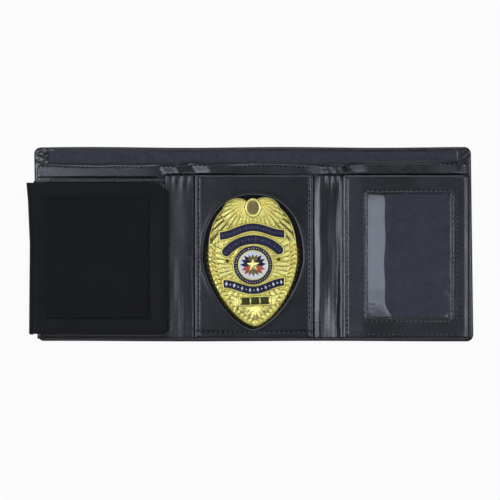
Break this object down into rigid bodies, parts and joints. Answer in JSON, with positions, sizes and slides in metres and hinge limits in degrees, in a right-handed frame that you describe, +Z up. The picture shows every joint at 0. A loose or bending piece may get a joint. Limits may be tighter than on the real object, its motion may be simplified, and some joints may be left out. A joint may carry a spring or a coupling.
{
  "type": "id badge wallet",
  "caption": "Trifold leather badge wallet lying open: badge in a cut-out in the middle, ID window on one side, card pockets under a hinged ID flap on the other, banknote compartment behind.",
  "frame": {"origin": "middle of the underside of the cover, as the wallet lies open and flat", "axes": "+X along the open wallet, from the card pockets to the ID window; +Y towards the mouth of the banknote compartment; +Z up, out of the open wallet"},
  "size_m": [0.2486, 0.108, 0.0084],
  "materials": {
    "leather": "semi-gloss black grain leather, finely pebbled",
    "matte_leather": "matte black leather",
    "cloth": "fine woven black lining",
    "flap_cloth": "soft matte black cloth",
    "clear_vinyl": "clear flexible vinyl, slightly wavy",
    "badge_gold": "polished gold plate over die-struck relief",
    "badge_dark_gold": "darkened gold in the recesses",
    "enamel_blue": "dark indigo enamel, glossy",
    "enamel_white": "white enamel, glossy",
    "pin_steel": "plain steel wire and blocks"
  },
  "bodies": {
    "centre": {"cover_centre": "leather", "left_fold_cover": "leather", "right_fold_cover": "leather", "lining_centre": "cloth", "left_fold_lining": "cloth", "right_fold_lining": "cloth", "wall_centre": "leather", "left_fold_wall": "leather", "right_fold_wall": "leather", "left_fold_facing": "leather", "right_fold_facing": "leather", "pocket_liner": "cloth", "badge_backing": "leather", "badge_panel": "leather", "badge_shield": "badge_gold", "badge_wings": "badge_gold", "badge_medallion": "badge_dark_gold", "top_banner_enamel": "enamel_blue", "middle_banner_enamel": "enamel_blue", "lower_banner_enamel": "enamel_blue", "seal_ring_enamel": "enamel_blue", "seal_disc_enamel": "enamel_white", "seal_emblem": "enamel_blue", "number_plate": "badge_dark_gold", "badge_pin_hinge": "pin_steel", "badge_pin": "pin_steel", "badge_pin_catch": "pin_steel"},
    "left_panel": {"cover_left": "leather", "lining_left": "cloth", "wall_left": "leather", "flap_hinge_strip": "leather", "card_pocket_back": "leather", "card_pocket_middle": "leather", "card_pocket_front": "leather"},
    "right_panel": {"cover_right": "leather", "lining_right": "cloth", "wall_right": "leather", "window_backing": "cloth", "window_vinyl": "clear_vinyl", "window_panel": "leather"},
    "id_flap": {"flap_hinge_roll": "leather", "flap_back": "matte_leather", "flap_lining": "flap_cloth", "flap_window": "clear_vinyl", "flap_frame": "leather"}
  },
  "joints": [
    {"name": "left_fold", "type": "hinge", "parent": "centre", "child": "left_panel", "pos_m": [-0.0412, 0, 0.0085], "axis": [0, 1, 0], "range_deg": [0, 180], "deforming": ["left_fold_cover", "left_fold_lining", "left_fold_wall", "left_fold_facing"]},
    {"name": "right_fold", "type": "hinge", "parent": "centre", "child": "right_panel", "pos_m": [0.0412, 0, 0.0112], "axis": [0, -1, 0], "range_deg": [0, 180], "deforming": ["right_fold_cover", "right_fold_lining", "right_fold_wall", "right_fold_facing"]},
    {"name": "flap_hinge", "type": "hinge", "parent": "left_panel", "child": "id_flap", "pos_m": [-0.1245, 0, 0.0057], "axis": [0, 1, 0], "range_deg": [-180, 0]}
  ]
}
